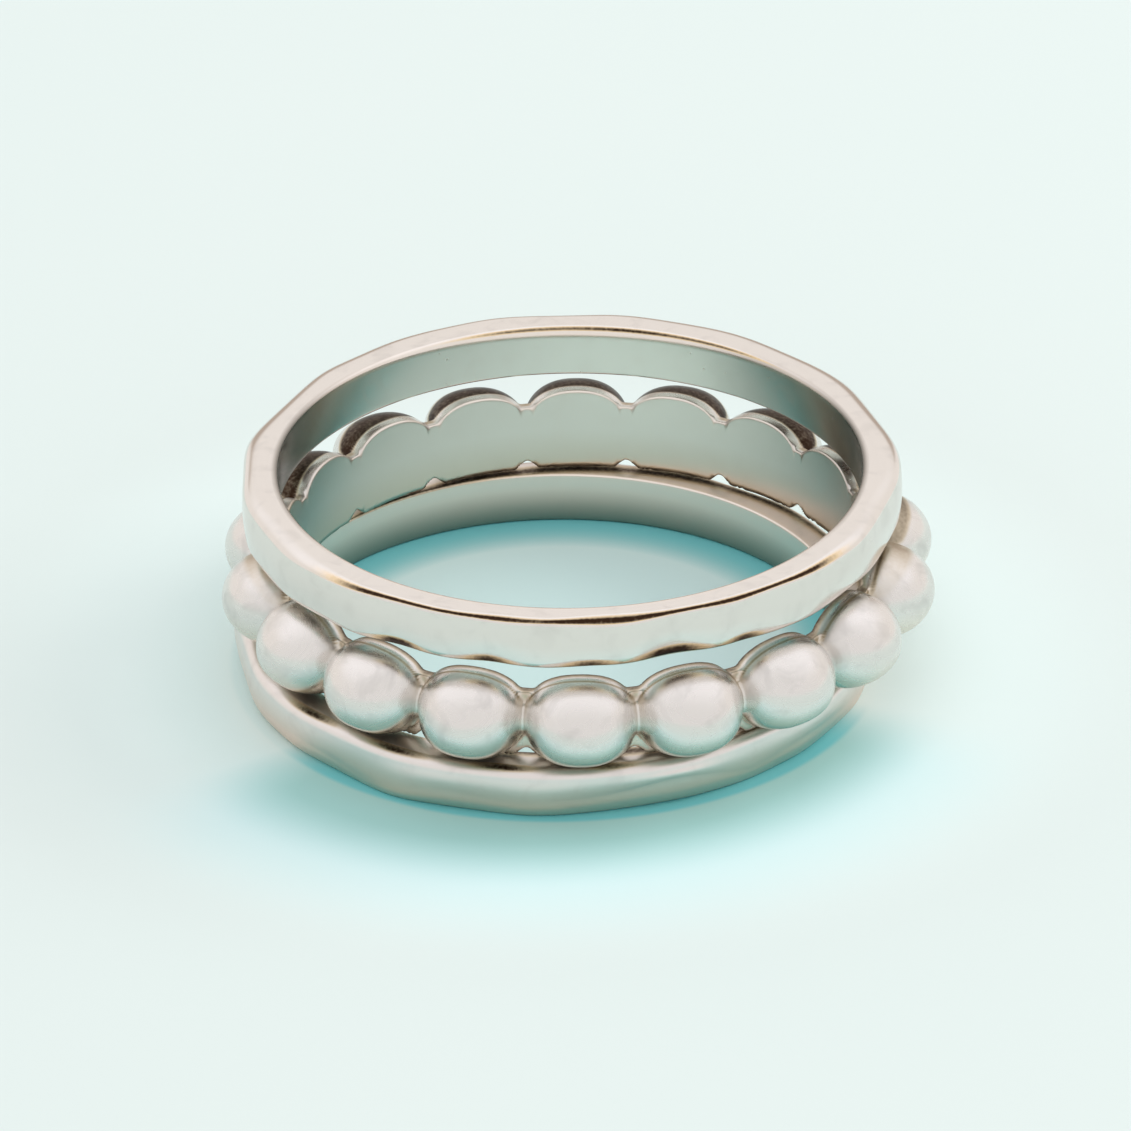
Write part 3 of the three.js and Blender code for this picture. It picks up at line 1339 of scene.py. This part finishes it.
    def _tent(self) -> None:
        """Lights the scene from all sides, from a dimmer front to a brighter back with its gap."""
        world = bpy.data.worlds.new("tent")
        world.use_nodes = True
        bpy.context.scene.world = world
        sheet = Sheet(world.node_tree)
        way = sheet.node("ShaderNodeTexCoord").outputs["Generated"]
        parts = sheet.node("ShaderNodeSeparateXYZ", {}, {0: way}).outputs
        side, back, up = (Value(sheet, part) for part in parts)
        behind = sheet.blend(sheet.step(up, *self.high_span), self.low_back_light, self.high_back_light)
        cloth = sheet.blend(sheet.step(back, *self.back_span), self.front_light, behind)
        low = sheet.step(up, *self.gap_low_span)
        high = 1.0 - sheet.step(up, *self.gap_high_span)
        wide = 1.0 - sheet.step(side * side, *self.gap_side_span)
        gap = high * low * wide * sheet.step(back, *self.gap_back_span)
        colour = sheet.blend(gap, cloth, self.gap_light)
        light = sheet.node("ShaderNodeBackground", {}, {"Color": colour, "Strength": 1.0})
        sheet.node("ShaderNodeOutputWorld", {}, {"Surface": light.outputs[0]})

    def _key(self) -> None:
        """Hangs a soft light on the right, above and a little behind the bands, unseen in their metal."""
        data = bpy.data.lights.new("key", "AREA")
        data.size = self.key_size
        data.energy = self.key_power
        data.color = self.key_colour
        key = bpy.data.objects.new("key", data)
        key.location = self.key_place
        key.rotation_mode = "QUATERNION"
        key.rotation_quaternion = (-Vector(self.key_place)).to_track_quat("-Z", "Y")
        key.visible_glossy = False
        bpy.context.scene.collection.objects.link(key)


UPPER_CROWN_WEAR = marks((258, 4, 0.5), (277, 6, 1.3), (300, 4, 0.4), (322, 6, 0.5))
UPPER_CROWN_ROUND = marks(
    (30, 18, 2.2), (70, 14, 1.2), (130, 16, 1.6), (170, 16, 2.2), (208, 12, 2.8), (345, 12, 2.6)
)
# Dark lines of painted reflection along the upper band's crown, and painted shade in the dents along its
# foot.
UPPER_CROWN_PAINTED_REFLECTION = marks((234, 7, 1), (252, 8, 1), (277, 10, 1.3), (299, 8, 1.1), (316, 6, 0.9))
UPPER_FOOT_PAINTED_SHADE = marks((238, 3, 1.1), (255, 3, 0.9), (273, 3, 0.8), (288, 4, 1.2), (302, 2.5, 0.9))
UPPER_BORE_CROWN_WEAR = marks((85, 28, 3))
# A dark line of painted reflection along the back of the upper bore's crown.
UPPER_BORE_CROWN_PAINTED_REFLECTION = marks((100, 9, 0.7), (78, 9, 0.9), (58, 8, 0.7))
UPPER_FOOT_WEAR = marks(
    (238, 4, 1.2), (255, 3, 0.9), (273, 4, 0.7), (288, 5, 1.8), (302, 3, 1), (330, 5, 0.9)
)
# Painted shade on the sides of the bores.
UPPER_BORE_PAINTED_SHADE = marks((166, 15, 0.8), (195, 14, 0.7), (14, 15, 0.9), (345, 14, 0.7), (48, 8, 0.3))
BEADED_BORE_PAINTED_SHADE = marks((170, 20, 0.35), (10, 24, 0.5))
# Painted shade where the lower band's crown meets the valleys between the beads.
LOWER_CROWN_PAINTED_SHADE = marks((220, 4, 1), (240, 4, 1), (260, 4, 1), (280, 3, 0.7))
LOWER_FOOT_WEAR = marks(
    (236, 8, -0.5), (247, 5, 0.25), (262, 5, -0.15), (291, 7, 0.6), (307, 5, -0.3), (322, 6, 0.2)
)


def upper_band() -> HammeredBand:
    """Describes the upper band, polished, with bevels that widen in places and dark lines of painted
    reflection and shade along them.

    Returns:
        The band, ready to be built.
    """
    return HammeredBand(
        node=Node.UPPER,
        finish=SilverFinish("polished_silver", Slot.POLISHED),
        foot_edge=Edge(0.1 * MM, 0.18 * MM, flat=0.4, marks=UPPER_FOOT_WEAR),
        crown_edge=Edge(
            0.13 * MM, 0.085 * MM, flat=0.9, marks=UPPER_CROWN_WEAR, soft_marks=UPPER_CROWN_ROUND
        ),
        bore_crown_edge=Edge(0.05 * MM, 0.07 * MM, flat=0.3, marks=UPPER_BORE_CROWN_WEAR),
        bore_foot_edge=Edge(0.12 * MM, 0.12 * MM),
        belly=0.04 * MM,
        # Painted shade on the bore's sides, and dark lines of painted reflection and shade along the edges.
        bore_painted_shade=UPPER_BORE_PAINTED_SHADE,
        painted_edge_lines=(
            PaintedLine(UPPER_FOOT_PAINTED_SHADE, place=0.6, before=0.5, after=0.5),
            PaintedLine(UPPER_CROWN_PAINTED_REFLECTION, place=0.35, before=0.35, after=0.55),
            PaintedLine(UPPER_BORE_CROWN_PAINTED_REFLECTION, place=0.4, before=0.35, after=0.12),
            PaintedLine(),
        ),
    )


def beaded_band() -> BeadedBand:
    """Describes the beaded band, cast and lightly pitted, with shade and dark reflections painted between
    and on its beads, partly real tarnishing.

    Returns:
        The band, ready to be built.
    """
    finish = SilverFinish(
        "bead_silver",
        Slot.BEAD,
        tint=(0.8, 0.775, 0.74),
        # A painted darker, warmer cast low on the beads, and the colours of the painted lines.
        warm_cast_tint=(0.78, 0.69, 0.57),
        straw_and_painted_fringe=(0.52, 0.41, 0.24),
        smudge=0.15,
        pits=1.5,
        polish=0.25,
        inside_polish=0.3,
    )
    # Painted shade on the bore's sides.
    return BeadedBand(finish=finish, bore_painted_shade=BEADED_BORE_PAINTED_SHADE)


def lower_band() -> HammeredBand:
    """Describes the lower band, duller and rounder, with shade painted beneath the band above and low in
    its bore, and a painted warm cast low on its front.

    Returns:
        The band, ready to be built.
    """
    finish = SilverFinish(
        "satin_silver",
        Slot.SATIN,
        tint=(0.81, 0.765, 0.73),
        # A painted warm cast low on the front, and the colours of the painted lines.
        warm_cast_tint=(0.92, 0.66, 0.55),
        straw_and_painted_fringe=(0.65, 0.52, 0.32),
        polish=0.32,
        inside_polish=0.32,
    )
    return HammeredBand(
        node=Node.LOWER,
        finish=finish,
        foot_edge=Edge(0.3 * MM, 0.62 * MM, flat=0.2, marks=LOWER_FOOT_WEAR),
        crown_edge=Edge(0.42 * MM, 0.3 * MM),
        bore_crown_edge=Edge(0.08 * MM, 0.07 * MM),
        bore_foot_edge=Edge(0.12 * MM, 0.12 * MM),
        belly=0.05 * MM,
        # Painted shade low in the bore, and a painted warm cast low on the front.
        foot_painted_shade=0.6,
        under_share=1.0,
        # Painted shade in the seat below the band above and along the crown between the beads.
        above=Node.BEADED,
        painted_edge_lines=(PaintedLine(), PaintedLine(LOWER_CROWN_PAINTED_SHADE, place=0.75, before=0.25), PaintedLine(), PaintedLine()),
    )


def main() -> None:
    """Builds the camera, the studio and the three bands, and reports each piece."""
    logging.basicConfig(level=logging.INFO, format="%(name)s: %(message)s")
    Camera().build()
    Studio().build()
    for band in (lower_band(), beaded_band(), upper_band()):
        piece = band.build()
        LOG.info("%s: %d faces", piece.name, len(piece.data.polygons))


if __name__ == "__main__":
    main()
